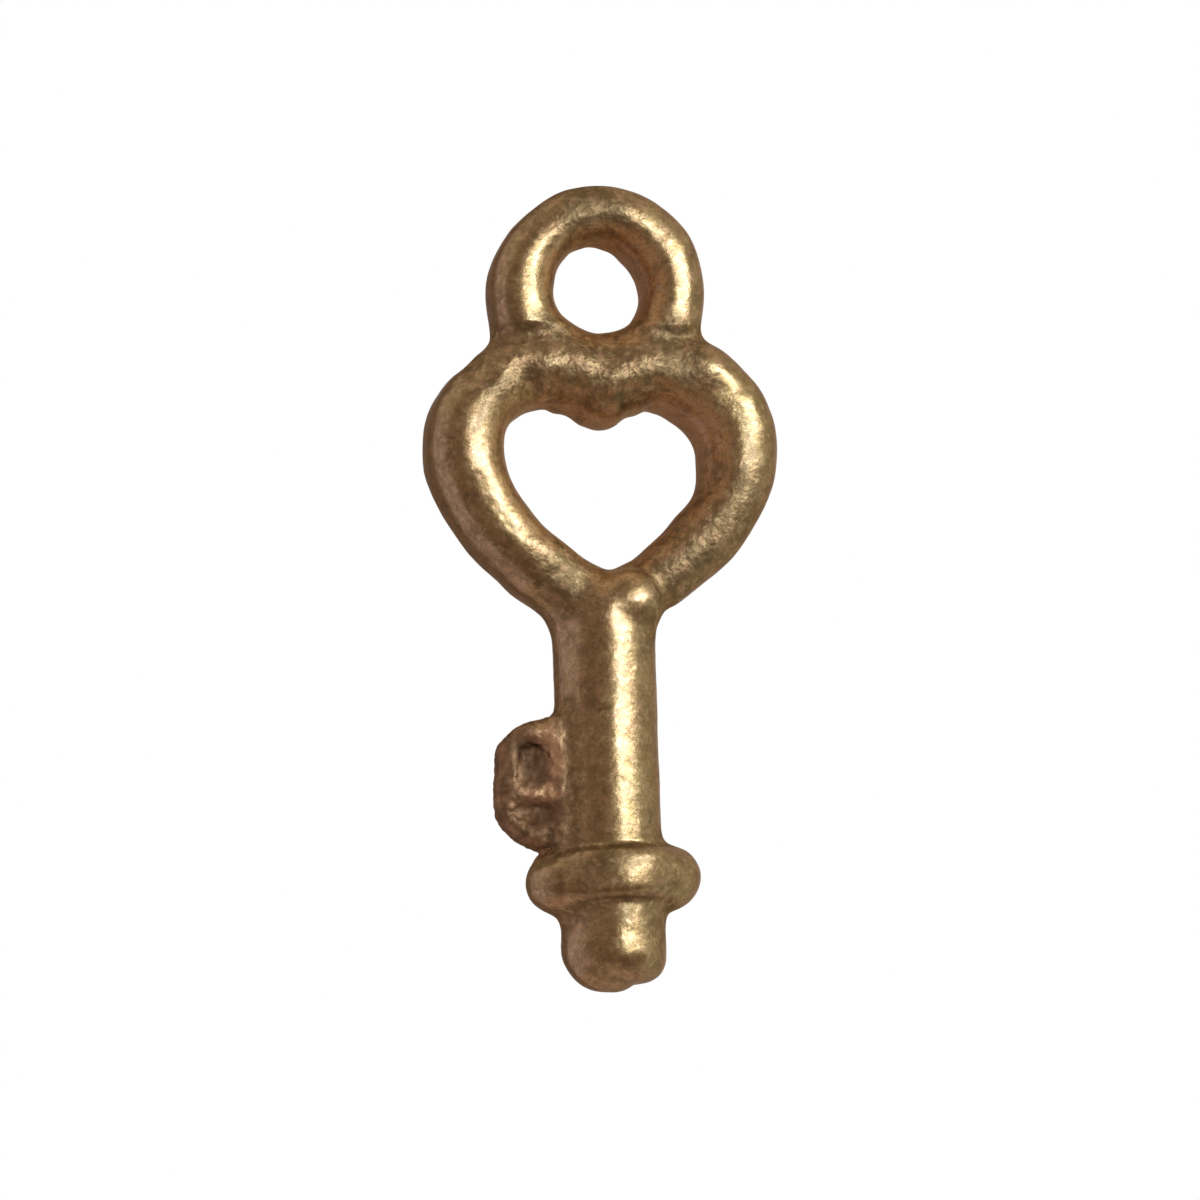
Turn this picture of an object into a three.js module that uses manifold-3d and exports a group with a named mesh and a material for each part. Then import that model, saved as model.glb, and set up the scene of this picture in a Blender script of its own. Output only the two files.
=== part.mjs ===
// Heart key charm, a small cast pendant in the shape of an old key.
// Millimetres, +Z up, the key hangs from its loop and its front faces -Y.
// The origin is the centre of the loop's eye, where a jump ring would pass.
// The charm is shaped as one casting and then divided at flat seams into the
// regions a person would name, so that neighbours meet face to face.

import * as THREE from 'three';
import { ParametricGeometry } from 'three/addons/geometries/ParametricGeometry.js';
import { mergeVertices } from 'three/addons/utils/BufferGeometryUtils.js';
import Module from 'manifold-3d';

const wasm = await Module();
wasm.setup();

// Hanging loop: a deep ring round the eye, its axis along Y
const loopCentreRadius = 1.72;
const loopHalfWidth = 0.68;
const loopHalfDepth = 1.05;
const loopFootBelowEye = 0.08;

// Heart-shaped bow: the centre line of its right limb, as drops below the notch and reaches sideways
const notchBelowLoopCircle = 0.29;
const lobeTopRise = 0.23;
const lobeTopReach = 1.11;
const lobeTopHandle = 0.62;
const sideDrop = 1.59;
const sideReach = 3.13;
const sideHandle = 2.10;
const pointDrop = 5.13;
const pointHandleAcross = 0.17;
const pointHandleUp = 0.05;

// Thickness of the bow's limb at the notch, at the side and at the point
const notchHalfWidth = 1.01;
const sideHalfWidth = 0.84;
const pointHalfWidth = 0.60;
const bowHalfDepth = 1.15;

// Shank, with a domed head that sits in the fork of the heart
const shankRadius = 1.13;
const headRise = 0.75;
const headDomeHeight = 0.80;
const seamBelowFork = 0.15;
const pointToCollar = 6.01;

// Collar: a low band all round, and a higher ear on each side, in the plane where the mould parts
const collarBandStand = 0.32;
const collarBandHalfHeight = 0.58;
const collarEarStand = 0.82;
const collarEarHalfHeight = 0.69;
const collarEarHalfDepth = 1.05;

// End tip
const collarToEnd = 2.43;
const endRounding = 0.73;

// Key bit on the left of the shank
const bitReach = 2.57;
const bitHeight = 2.84;
const bitAboveCollar = 0.02;
const bitThickness = 1.24;
const bitEdgeRounding = 0.16;
const bitTopChamferAcross = 0.70;
const bitTopChamferDown = 0.60;
const bitBottomChamferAcross = 0.82;
const bitBottomChamferUp = 0.62;
const bitSeatFromAxis = 0.95;

// Two shallow recesses in each face of the bit, left and down from the bit's outer top corner
const recessDepth = 0.14;
const recessCorner = 0.14;
const upperRecess = { fromEdge: 0.48, fromTop: 0.52, width: 0.78, height: 0.98 };
const lowerRecess = { fromEdge: 0.53, fromTop: 1.86, width: 0.86, height: 0.46 };

// Fineness of the round stretches
const sectionSteps = 20;
const ringSteps = 48;
const rodSteps = 32;
const edgeSteps = 5;
const limbStepsPerCurve = 9;
const bevelSteps = 3;
const cornerSteps = 4;

// Points closer together than this are one point
const samePlace = 1e-5;

// A quarter circle drawn as a cubic curve has its handles at this share of the radius
const quarterCircleHandle = 0.5523;

// Heights that follow from the sizes above
const eyeRadius = loopCentreRadius - loopHalfWidth;
const loopSeamZ = -(eyeRadius + loopFootBelowEye);
const notchZ = -(loopCentreRadius + notchBelowLoopCircle);
const pointZ = notchZ - pointDrop;
const shankSeamZ = pointZ - pointHalfWidth - seamBelowFork;
const collarZ = pointZ - pointToCollar;
const collarTopZ = collarZ + collarEarHalfHeight;
const collarBottomZ = collarZ - collarEarHalfHeight;
const endZ = collarZ - collarToEnd;
const bitBottomZ = collarTopZ + bitAboveCollar;
const bitTopZ = bitBottomZ + bitHeight;

// The dividing blocks reach this far, past everything
const past = 2 * (loopCentreRadius + loopHalfWidth - endZ);

// A closed geometry as a solid that can be joined and cut
function solid(geometry) {
  geometry.deleteAttribute('normal');
  geometry.deleteAttribute('uv');
  const merged = mergeVertices(geometry, samePlace);
  const corners = merged.index.array;
  const positions = merged.attributes.position.array;
  const triangles = [];
  let volume = 0;
  const a = new THREE.Vector3();
  const b = new THREE.Vector3();
  const c = new THREE.Vector3();
  for (let i = 0; i < corners.length; i += 3) {
    const [p, q, r] = corners.slice(i, i + 3);
    if (p === q || q === r || r === p) continue;
    triangles.push(p, q, r);
    a.fromArray(positions, 3 * p);
    b.fromArray(positions, 3 * q);
    c.fromArray(positions, 3 * r);
    volume += a.dot(b.cross(c));
  }
  const facingOut = volume > 0 ? triangles : triangles.reverse();
  return new wasm.Manifold(new wasm.Mesh({
    numProp: 3,
    vertProperties: new Float32Array(positions),
    triVerts: new Uint32Array(facingOut),
  }));
}

// A block between two corners, whose faces lie exactly on the values given
function block(low, high) {
  const geometry = new THREE.BoxGeometry(1, 1, 1);
  const position = geometry.attributes.position;
  for (let i = 0; i < position.count; i += 1) {
    position.setXYZ(
      i,
      position.getX(i) > 0 ? high[0] : low[0],
      position.getY(i) > 0 ? high[1] : low[1],
      position.getZ(i) > 0 ? high[2] : low[2],
    );
  }
  return solid(geometry);
}

// The layer of space between two heights
function layer(lowZ, highZ) {
  return block([-past, -past, lowZ], [past, past, highZ]);
}

// A point on a rounded section: a half circle at the front and back, and straight walls between
function sectionPoint(turn, halfWidth, halfDepth) {
  const angle = 2 * Math.PI * turn;
  const wall = halfDepth - halfWidth;
  const depth = halfWidth * Math.sin(angle);
  const side = Math.abs(depth) < samePlace ? 0 : Math.sign(depth);
  return new THREE.Vector2(halfWidth * Math.cos(angle), depth + side * wall);
}

// A turned profile stands on the lathe's Y axis, so it is stood up along Z
function turned(profile) {
  const geometry = new THREE.LatheGeometry(profile, rodSteps);
  geometry.rotateX(Math.PI / 2);
  return solid(geometry);
}

// An outline in the XZ plane, given its thickness along Y and rounded at its edges
function plate(outline, thickness, edge) {
  const geometry = new THREE.ExtrudeGeometry(outline, {
    depth: thickness - 2 * edge,
    bevelEnabled: edge > 0,
    bevelThickness: edge,
    bevelSize: edge,
    bevelOffset: -edge,
    bevelSegments: bevelSteps,
    curveSegments: cornerSteps,
    steps: 1,
  });
  geometry.translate(0, 0, edge - thickness / 2);
  geometry.rotateX(Math.PI / 2);
  return solid(geometry);
}

function makeLoop() {
  const profile = [];
  for (let i = 0; i <= sectionSteps; i += 1) {
    const point = sectionPoint((i % sectionSteps) / sectionSteps, loopHalfWidth, loopHalfDepth);
    profile.push(new THREE.Vector2(loopCentreRadius + point.x, point.y));
  }
  return solid(new THREE.LatheGeometry(profile, ringSteps));
}

// The centre line of one limb, from the notch over the lobe and the side down to the point
function limbCurves() {
  const notch = new THREE.Vector2(0, notchZ);
  const lobe = new THREE.Vector2(lobeTopReach, notchZ + lobeTopRise);
  const side = new THREE.Vector2(sideReach, notchZ - sideDrop);
  const point = new THREE.Vector2(0, pointZ);
  const across = quarterCircleHandle * (side.x - lobe.x);
  const down = quarterCircleHandle * (lobe.y - side.y);
  const beforeLobe = new THREE.Vector2(lobe.x - lobeTopHandle, lobe.y);
  const afterLobe = new THREE.Vector2(lobe.x + across, lobe.y);
  const beforeSide = new THREE.Vector2(side.x, side.y + down);
  const afterSide = new THREE.Vector2(side.x, side.y - sideHandle);
  const beforePoint = new THREE.Vector2(pointHandleAcross, pointZ + pointHandleUp);
  const intoNotch = notch.clone().sub(beforeLobe).setLength(2 * notchHalfWidth).add(notch);
  const pastPoint = point.clone().sub(beforePoint).setLength(2 * pointHalfWidth).add(point);
  return [
    { curve: new THREE.LineCurve(intoNotch, notch), from: notchHalfWidth, to: notchHalfWidth },
    {
      curve: new THREE.CubicBezierCurve(notch, notch, beforeLobe, lobe),
      from: notchHalfWidth,
      to: sideHalfWidth,
    },
    {
      curve: new THREE.CubicBezierCurve(lobe, afterLobe, beforeSide, side),
      from: sideHalfWidth,
      to: sideHalfWidth,
    },
    {
      curve: new THREE.CubicBezierCurve(side, afterSide, beforePoint, point),
      from: sideHalfWidth,
      to: pointHalfWidth,
    },
    { curve: new THREE.LineCurve(point, pastPoint), from: pointHalfWidth, to: pointHalfWidth },
  ];
}

// One limb as a closed tube whose ends run past the middle plane, and are trimmed on it
function makeLimb(sign) {
  const stretches = limbCurves();
  const stations = [];
  for (const { curve, from, to } of stretches) {
    const steps = curve.isLineCurve ? 1 : limbStepsPerCurve;
    for (let i = 0; i < steps; i += 1) {
      const t = (i + 0.5) / steps;
      stations.push({
        place: curve.getPoint(t),
        along: curve.getTangent(t),
        halfWidth: THREE.MathUtils.lerp(from, to, t),
      });
    }
  }
  const last = stations.length - 1;
  // The first and last rings of the tube shrink to a point, which closes its ends
  const draw = (u, v, target) => {
    const ring = Math.round(u * (last + 2)) - 1;
    const { place, along, halfWidth } = stations[THREE.MathUtils.clamp(ring, 0, last)];
    const open = ring < 0 || ring > last ? 0 : 1;
    const around = sectionPoint(v === 1 ? 0 : v, halfWidth, bowHalfDepth);
    target.set(
      sign * (place.x + open * around.x * along.y),
      open * around.y,
      place.y - open * around.x * along.x,
    );
  };
  const tube = solid(new ParametricGeometry(draw, last + 2, sectionSteps));
  const low = [Math.min(0, sign * past), -past, -past];
  const high = [Math.max(0, sign * past), past, past];
  return tube.intersect(block(low, high));
}

// A round rod with a flat lower end and a domed head
function makeShankRod() {
  const profile = [new THREE.Vector2(0, collarZ)];
  profile.push(new THREE.Vector2(shankRadius, collarZ));
  for (let i = 0; i <= edgeSteps; i += 1) {
    const angle = (i / edgeSteps) * (Math.PI / 2);
    const radius = i === edgeSteps ? 0 : shankRadius * Math.cos(angle);
    const rise = headRise - headDomeHeight + headDomeHeight * Math.sin(angle);
    profile.push(new THREE.Vector2(radius, pointZ + rise));
  }
  return turned(profile);
}

// A ring that stands round the rod and ends in a half-round nose
function ringRoundRod(stand, halfHeight) {
  const noseCentre = shankRadius + stand - halfHeight;
  const profile = [new THREE.Vector2(0, collarZ - halfHeight)];
  for (let i = 0; i <= 2 * edgeSteps; i += 1) {
    const angle = (i / (2 * edgeSteps) - 0.5) * Math.PI;
    profile.push(new THREE.Vector2(
      noseCentre + halfHeight * Math.cos(angle),
      collarZ + halfHeight * Math.sin(angle),
    ));
  }
  profile.push(new THREE.Vector2(0, collarZ + halfHeight));
  return turned(profile);
}

// The ears are a second ring, pressed flat from front to back until only its sides stand out
function makeCollar() {
  const band = ringRoundRod(collarBandStand, collarBandHalfHeight);
  const earReach = shankRadius + collarEarStand;
  const ears = ringRoundRod(collarEarStand, collarEarHalfHeight);
  return band.add(ears.scale([1, collarEarHalfDepth / earReach, 1]));
}

// The rod's nose below the collar, rounded to a small flat face
function makeEndTip() {
  const profile = [new THREE.Vector2(0, collarZ), new THREE.Vector2(shankRadius, collarZ)];
  for (let i = 0; i <= edgeSteps; i += 1) {
    const angle = (i / edgeSteps) * (Math.PI / 2);
    profile.push(new THREE.Vector2(
      shankRadius - endRounding + endRounding * Math.cos(angle),
      endZ + endRounding - endRounding * Math.sin(angle),
    ));
  }
  profile.push(new THREE.Vector2(0, endZ));
  return turned(profile);
}

// The outline of a recess with rounded corners
function recessOutline({ fromEdge, fromTop, width, height }) {
  const left = -bitReach + fromEdge;
  const right = left + width;
  const top = bitTopZ - fromTop;
  const bottom = top - height;
  const outline = new THREE.Shape();
  outline.absarc(right - recessCorner, top - recessCorner, recessCorner, 0, Math.PI / 2);
  outline.absarc(left + recessCorner, top - recessCorner, recessCorner, Math.PI / 2, Math.PI);
  outline.absarc(left + recessCorner, bottom + recessCorner, recessCorner, Math.PI, 1.5 * Math.PI);
  outline.absarc(right - recessCorner, bottom + recessCorner, recessCorner, 1.5 * Math.PI, 2 * Math.PI);
  return outline;
}

// A chamfered tooth whose root runs into the rod, with its recesses sunk in both faces
function makeBit() {
  const outline = new THREE.Shape();
  outline.moveTo(0, bitTopZ);
  outline.lineTo(-bitReach + bitTopChamferAcross, bitTopZ);
  outline.lineTo(-bitReach, bitTopZ - bitTopChamferDown);
  outline.lineTo(-bitReach, bitBottomZ + bitBottomChamferUp);
  outline.lineTo(-bitReach + bitBottomChamferAcross, bitBottomZ);
  outline.lineTo(0, bitBottomZ);
  let tooth = plate(outline, bitThickness, bitEdgeRounding);
  const floor = bitThickness / 2 - recessDepth;
  const core = block([-past, -floor, -past], [past, floor, past]);
  for (const recess of [upperRecess, lowerRecess]) {
    const pocket = plate(recessOutline(recess), 2 * bitThickness, 0).subtract(core);
    tooth = tooth.subtract(pocket);
  }
  return tooth;
}

// A satin antique gold finish, a little different on each region so that they can be told apart
function antiqueGold(lightness) {
  return new THREE.MeshStandardMaterial({
    color: new THREE.Color().setHSL(0.105, 0.36, lightness),
    roughness: 0.36,
    metalness: 1,
  });
}

function named(name, shape, lightness) {
  const { vertProperties, triVerts } = shape.getMesh();
  const geometry = new THREE.BufferGeometry();
  geometry.setAttribute('position', new THREE.BufferAttribute(vertProperties, 3));
  geometry.setIndex(new THREE.BufferAttribute(triVerts, 1));
  geometry.computeVertexNormals();
  const mesh = new THREE.Mesh(geometry, antiqueGold(lightness));
  mesh.name = name;
  return mesh;
}

const loop = makeLoop();
const heart = makeLimb(1).add(makeLimb(-1));
const rod = makeShankRod();
const collar = makeCollar();
const tip = makeEndTip();
const bit = makeBit();

const bowAndLoop = loop.add(heart).add(rod);
const stem = rod.add(collar).add(tip);
const bitSpace = block([-past, -past, bitBottomZ], [-bitSeatFromAxis, past, bitTopZ]);

const charm = new THREE.Group();
charm.add(named('hanging_loop', bowAndLoop.intersect(layer(loopSeamZ, past)), 0.50));
charm.add(named('heart_bow', bowAndLoop.intersect(layer(shankSeamZ, loopSeamZ)), 0.46));
charm.add(named('shank', rod.intersect(layer(collarTopZ, shankSeamZ)).subtract(bitSpace), 0.48));
charm.add(named('key_bit', rod.add(bit).intersect(bitSpace), 0.42));
charm.add(named('collar_ring', stem.intersect(layer(collarBottomZ, collarTopZ)), 0.50));
charm.add(named('end_tip', tip.intersect(layer(endZ, collarBottomZ)), 0.46));

export default charm;
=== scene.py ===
# %% [markdown]
# # A cast charm in the shape of an old key
#
# The charm is one small casting, 18 mm long: a hanging loop, an open heart that is the key's bow,
# a round shank with a bit, a collar and a blunt end tip. Its finish is satin antique gold.
#
# It could be modelled region by region, but then the soft corners between the regions would be
# hard to match. So the whole casting is grown as one skin, which is parted into its regions at
# the end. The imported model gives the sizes. It is loaded first, and every size below is read
# from it or is a named value in millimetres.

import itertools
import math

import bpy
import numpy as np
from mathutils import Matrix, Vector
from mathutils.bvhtree import BVHTree
from mathutils.interpolate import poly_3d_calc


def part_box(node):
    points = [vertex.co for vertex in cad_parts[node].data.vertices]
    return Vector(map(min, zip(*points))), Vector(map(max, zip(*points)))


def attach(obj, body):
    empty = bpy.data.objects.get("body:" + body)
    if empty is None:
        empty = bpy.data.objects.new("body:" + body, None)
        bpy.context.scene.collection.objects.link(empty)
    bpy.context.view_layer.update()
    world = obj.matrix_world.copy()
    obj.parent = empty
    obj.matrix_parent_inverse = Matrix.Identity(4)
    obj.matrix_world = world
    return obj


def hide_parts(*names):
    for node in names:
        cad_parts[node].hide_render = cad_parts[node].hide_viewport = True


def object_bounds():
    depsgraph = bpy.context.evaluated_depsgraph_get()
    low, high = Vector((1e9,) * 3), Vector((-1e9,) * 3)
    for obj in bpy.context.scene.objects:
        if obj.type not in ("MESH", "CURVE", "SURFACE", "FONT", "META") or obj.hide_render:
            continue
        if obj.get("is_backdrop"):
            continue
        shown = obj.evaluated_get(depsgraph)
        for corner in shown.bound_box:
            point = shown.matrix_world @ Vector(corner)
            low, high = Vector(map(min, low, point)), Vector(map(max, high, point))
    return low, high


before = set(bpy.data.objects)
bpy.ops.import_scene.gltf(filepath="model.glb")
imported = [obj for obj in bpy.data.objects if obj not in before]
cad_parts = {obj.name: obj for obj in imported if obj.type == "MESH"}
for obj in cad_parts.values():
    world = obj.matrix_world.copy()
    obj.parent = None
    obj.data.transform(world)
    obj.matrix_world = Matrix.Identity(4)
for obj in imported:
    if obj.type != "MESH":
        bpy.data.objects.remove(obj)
cad_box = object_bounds()
print("nodes in the frame:", ", ".join(sorted(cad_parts)))

# %% [markdown]
# ## Sizes
#
# Each region of the casting is a node of the frame, and its box says where the region starts and
# ends. The charm hangs along Z with the centre of the loop's eye at the origin, and its front
# looks along -Y. The tree below works in millimetres, because such numbers are easier to read.
# The widths of the limbs are not in the boxes, so they are named values, measured across.

# %% Read the sizes
MM = 0.001


def box_in_mm(node):
    """The low and high corners of a node of the frame, in millimetres."""
    low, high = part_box(node)
    return low / MM, high / MM


loop_low, loop_high = box_in_mm("hanging_loop")
_, bow_high = box_in_mm("heart_bow")
_, shank_high = box_in_mm("shank")
bit_low, bit_high = box_in_mm("key_bit")
collar_low, collar_high = box_in_mm("collar_ring")
tip_low, tip_high = box_in_mm("end_tip")

LOOP_HALF_WIDTH = 0.68
SIDE_HALF_WIDTH = 0.84
NOTCH_HALF_WIDTH = 0.98
POINT_HALF_WIDTH = 0.60
loop_circle = loop_high.z - LOOP_HALF_WIDTH
rod_radius = tip_high.x
collar_half_height = (collar_high.z - collar_low.z) / 2
collar_middle = (collar_high.z + collar_low.z) / 2
print(f"overall length {loop_high.z - tip_low.z:.2f} mm, shank {2 * rod_radius:.2f} mm thick")

# %% [markdown]
# ## Sums of nodes
#
# A formula made of nodes is hard to read as a list of links. A Wire wraps the output of a node,
# so that `a * 2 + b` adds the Math nodes by itself. Any other node comes from the `add` of a
# Bench, which takes the node's type, its settings, and the values or links of its inputs.

# %% A workbench for node trees
class Bench:
    """A node tree that nodes are added to."""

    def __init__(self, tree):
        self.tree = tree

    def add(self, kind, settings=None, values=None, output=0):
        """A new node: its settings are made first, and then its inputs are set or linked."""
        node = self.tree.nodes.new(kind)
        for name, setting in (settings or {}).items():
            setattr(node, name, setting)
        for name, value in (values or {}).items():
            if isinstance(value, Wire):
                self.tree.links.new(value.socket, node.inputs[name])
            else:
                node.inputs[name].default_value = value
        return Wire(self, node.outputs[output]) if len(node.outputs) else node

    def number(self, value):
        """A plain number as a wire."""
        wire = self.add("ShaderNodeValue")
        wire.socket.default_value = value
        return wire


class Wire:
    """One output of a node, which can be used in a sum."""

    def __init__(self, bench, socket):
        self.bench = bench
        self.socket = socket

    def other(self, name):
        """Another output of the same node."""
        return Wire(self.bench, self.socket.node.outputs[name])

    def maths(self, operation, *terms):
        """A Math node on numbers or wires."""
        values = dict(enumerate(terms))
        return self.bench.add("ShaderNodeMath", {"operation": operation}, values)

    def vector(self, operation, *terms):
        """A Vector Math node on vectors or wires."""
        values = dict(enumerate(terms))
        return self.bench.add("ShaderNodeVectorMath", {"operation": operation}, values)

    def scaled(self, amount):
        """A vector, made longer or shorter."""
        settings = {"operation": "SCALE"}
        return self.bench.add("ShaderNodeVectorMath", settings, {0: self, "Scale": amount})

    def parts(self):
        """The X, Y and Z of a vector."""
        split = self.bench.add("ShaderNodeSeparateXYZ", None, {0: self}, "X")
        return split, split.other("Y"), split.other("Z")

    def __add__(self, more):
        return self.maths("ADD", self, more)

    def __radd__(self, first):
        return self.maths("ADD", first, self)

    def __sub__(self, less):
        return self.maths("SUBTRACT", self, less)

    def __rsub__(self, first):
        return self.maths("SUBTRACT", first, self)

    def __mul__(self, times):
        return self.maths("MULTIPLY", self, times)

    def __rmul__(self, first):
        return self.maths("MULTIPLY", first, self)

    def __truediv__(self, share):
        return self.maths("DIVIDE", self, share)

    def __neg__(self):
        return self.maths("MULTIPLY", self, -1.0)

    def __abs__(self):
        return self.maths("ABSOLUTE", self)

    def __pow__(self, power):
        return self.maths("POWER", self, power)

    def at_least(self, floor):
        return self.maths("MAXIMUM", self, floor)

    def at_most(self, ceiling):
        return self.maths("MINIMUM", self, ceiling)

    def root(self):
        return self.maths("SQRT", self)

    def reach(self, across):
        """The long side of a right triangle."""
        return (self * self + across * across).root()

    def share(self, start, end):
        """0 before start and 1 after end, with an even rise between."""
        return ((self - start) / (end - start)).at_least(0.0).at_most(1.0)

    def joined(self, shape, fillet):
        """Two shapes as one, with a fillet where they meet."""
        return self.maths("SMOOTH_MIN", self, shape, fillet)

    def within(self, shape, rounding):
        """What two shapes share, with a rounded edge where they cross."""
        return self.maths("SMOOTH_MAX", self, shape, rounding)


print("node sums are ready")

# %% [markdown]
# ## The centre line of the heart
#
# The bow is a heart bent from a thick limb. A curve with a bevel could draw it, but its limbs
# would cross in the notch and at the point with no fillet. So only the centre line is drawn
# here, and the rule below puts the metal round it. It is the right half of the heart, from the
# notch over the lobe and the side down to the point, as three cubic curves, and the left half is
# its mirror image. The line is a mesh of short edges, so that the tree can measure how far any
# place in space lies from it.

# %% Draw the centre line
NOTCH_HEIGHT = -2.01
LOBE_TOP = (1.11, -1.78)
LOBE_HANDLE = 0.62
SIDE_HEIGHT = -3.60
SIDE_HANDLE = 2.10
POINT_HEIGHT = -7.14
POINT_HANDLE = (0.17, 0.05)
QUARTER_CIRCLE = 0.5523
LINE_STEPS = 60


def cubic(start, first_handle, second_handle, end):
    """Points along a cubic curve, without its last one."""
    t = np.linspace(0.0, 1.0, LINE_STEPS, endpoint=False)[:, None]
    corners = [np.array(corner) for corner in (start, first_handle, second_handle, end)]
    weights = ((1 - t) ** 3, 3 * t * (1 - t) ** 2, 3 * t**2 * (1 - t), t**3)
    return sum(weight * corner for weight, corner in zip(weights, corners))


def right_half():
    """The right half of the heart's centre line, as points in X and Z."""
    side_reach = bow_high.x - SIDE_HALF_WIDTH
    notch = (0.0, NOTCH_HEIGHT)
    side = (side_reach, SIDE_HEIGHT)
    point = (0.0, POINT_HEIGHT)
    across = QUARTER_CIRCLE * (side[0] - LOBE_TOP[0])
    down = QUARTER_CIRCLE * (LOBE_TOP[1] - side[1])
    before_lobe = (LOBE_TOP[0] - LOBE_HANDLE, LOBE_TOP[1])
    after_lobe = (LOBE_TOP[0] + across, LOBE_TOP[1])
    before_side = (side[0], side[1] + down)
    after_side = (side[0], side[1] - SIDE_HANDLE)
    before_point = (POINT_HANDLE[0], POINT_HEIGHT + POINT_HANDLE[1])
    return np.vstack([
        cubic(notch, notch, before_lobe, LOBE_TOP),
        cubic(LOBE_TOP, after_lobe, before_side, side),
        cubic(side, after_side, before_point, point),
        [point],
    ])


def mesh_object(name, places, edges, faces):
    """An object with a new mesh, linked to the scene."""
    mesh = bpy.data.meshes.new(name)
    mesh.from_pydata(places, edges, faces)
    thing = bpy.data.objects.new(name, mesh)
    bpy.context.scene.collection.objects.link(thing)
    return thing


def line_object(name, points):
    """An object of short edges from point to point, in the XZ plane."""
    places = [(x, 0.0, z) for x, z in points]
    edges = [(i, i + 1) for i in range(len(places) - 1)]
    return mesh_object(name, places, edges, [])


centre_line = right_half()
heart_line = line_object("heart_line", centre_line)
line_length = np.hypot(*np.diff(centre_line, axis=0).T).sum()
print(f"half of the heart's centre line is {line_length:.2f} mm long")

# %% [markdown]
# ## The casting as a rule
#
# A cast charm has no hard joints: molten metal fills the mould and every corner comes out with a
# small fillet. It could be modelled as tubes, remeshed and smoothed, but then the fillets would
# be all alike. Here each part is written as a rule that gives the distance from any place to its
# surface, and two rules are joined with a fillet of a chosen size. A Volume Cube node fills a
# block of space with that distance, and Volume to Mesh draws the skin where it is zero.
#
# The inputs of the tree are the sizes. Each shape below is one function of the place in space.

# %% Name the inputs of the tree
HEAD_ABOVE_POINT = 0.80
BAND_INSIDE_BOX = 0.03
SIZES = {
    "Loop circle": loop_circle,
    "Loop half width": LOOP_HALF_WIDTH,
    "Loop half depth": loop_high.y,
    "Bow half depth": bow_high.y,
    "Notch half width": NOTCH_HALF_WIDTH,
    "Side half width": SIDE_HALF_WIDTH,
    "Point half width": POINT_HALF_WIDTH,
    "Rod radius": rod_radius,
    "Head top": POINT_HEIGHT + HEAD_ABOVE_POINT,
    "Collar reach": collar_high.x,
    "Band reach": collar_high.y - BAND_INSIDE_BOX,
    "Collar half height": collar_half_height,
    "Collar middle": collar_middle,
    "End height": tip_low.z,
    "Bit reach": -bit_low.x,
    "Bit top": bit_high.z,
    "Bit bottom": bit_low.z,
    "Bit half thickness": bit_high.y,
    "Shoulder fillet": 0.88,
    "Fork fillet": 0.72,
    "Collar fillet": 0.60,
    "Bit fillet": 0.40,
    "Lumps": 0.018,
}
print(f"the tree has {len(SIZES)} named sizes")

# %% [markdown]
# ## The loop and the heart
#
# Both are thick limbs with a rounded front and back, and tumbling has left a narrow level crest
# on each. A torus and a swept circle would be too even: the loop thins where it runs into the
# heart and its crown sits a little aside, and the heart is thicker in its notch than at its
# point. In a rule each of these is one short term. The two half moulds were also slightly out
# of register, so the front sits a little to one side of the back: that is the term with y.

# %% Write the rules for the loop and the heart
TUBE_SIDE_ROUNDING = 0.12
TUBE_WALL_ROUNDING = 0.90


def rounded_tube(across, depth, half_width, half_depth, crest):
    """A tube with a rounded front and back, a narrow level crest on each, and easy walls between."""
    rounding = half_width - crest
    side = (abs(across) - crest).within(0.0, TUBE_SIDE_ROUNDING)
    wall = (abs(depth) - (half_depth - rounding)).within(0.0, TUBE_WALL_ROUNDING)
    return side.reach(wall) - rounding


LOOP_CREST = 0.02
LOOP_WIDER = 0.018
LOOP_THICKER = 0.026
LOOP_SLIP = 0.06
LOOP_FOOT = (0.86, 2.40)
FOOT_THINNER = 1.10
LOOP_CROWN = (0.2, 1.6)
CROWN_ASIDE = 0.035
CROWN_HIGHER = 0.006
CROWN_THINNER = 0.04


def loop_rule(size, x, y, z):
    """A ring round the Y axis, which thins where it runs into the heart."""
    foot = (-z).share(*LOOP_FOOT)
    half_depth = size["Loop half depth"] - foot * FOOT_THINNER
    crown = z.share(*LOOP_CROWN)
    across = (x - crown * CROWN_ASIDE - y * LOOP_SLIP).reach(z)
    across = across - size["Loop circle"] - LOOP_WIDER - crown * CROWN_HIGHER
    half_width = size["Loop half width"] + LOOP_THICKER - crown * CROWN_THINNER
    return rounded_tube(across, y, half_width, half_depth, LOOP_CREST)


LIMB_CREST = 0.05
LIMB_THICKER = 0.012
MIRROR_ROUNDING = 0.10
LOBE_RISE = 1.0
POINT_THINNER = 0.38


def limb_rule(bench, size, line, x, y, z):
    """The heart's limb: as thick as its nearest place on the centre line says."""
    mirrored = x.reach(bench.number(MIRROR_ROUNDING))
    flat = bench.add("ShaderNodeCombineXYZ", None, {"X": mirrored, "Z": z})
    near = bench.add(
        "GeometryNodeProximity",
        {"target_element": "EDGES"},
        {"Target": line, "Sample Position": flat},
        "Position",
    )
    near_x, _, near_z = near.parts()
    above = near_z.share(SIDE_HEIGHT, SIDE_HEIGHT + LOBE_RISE)
    to_notch = (1 - near_x.share(0.0, LOBE_TOP[0])) * above
    to_point = 1 - near_z.share(POINT_HEIGHT, SIDE_HEIGHT)
    half_width = (
        size["Side half width"]
        + to_notch * (size["Notch half width"] - size["Side half width"])
        + to_point * to_point * (size["Point half width"] - size["Side half width"])
    )
    half_depth = size["Bow half depth"] - to_point * to_point * POINT_THINNER
    return rounded_tube(near.other("Distance"), y, half_width + LIMB_THICKER, half_depth, LIMB_CREST)


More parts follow.
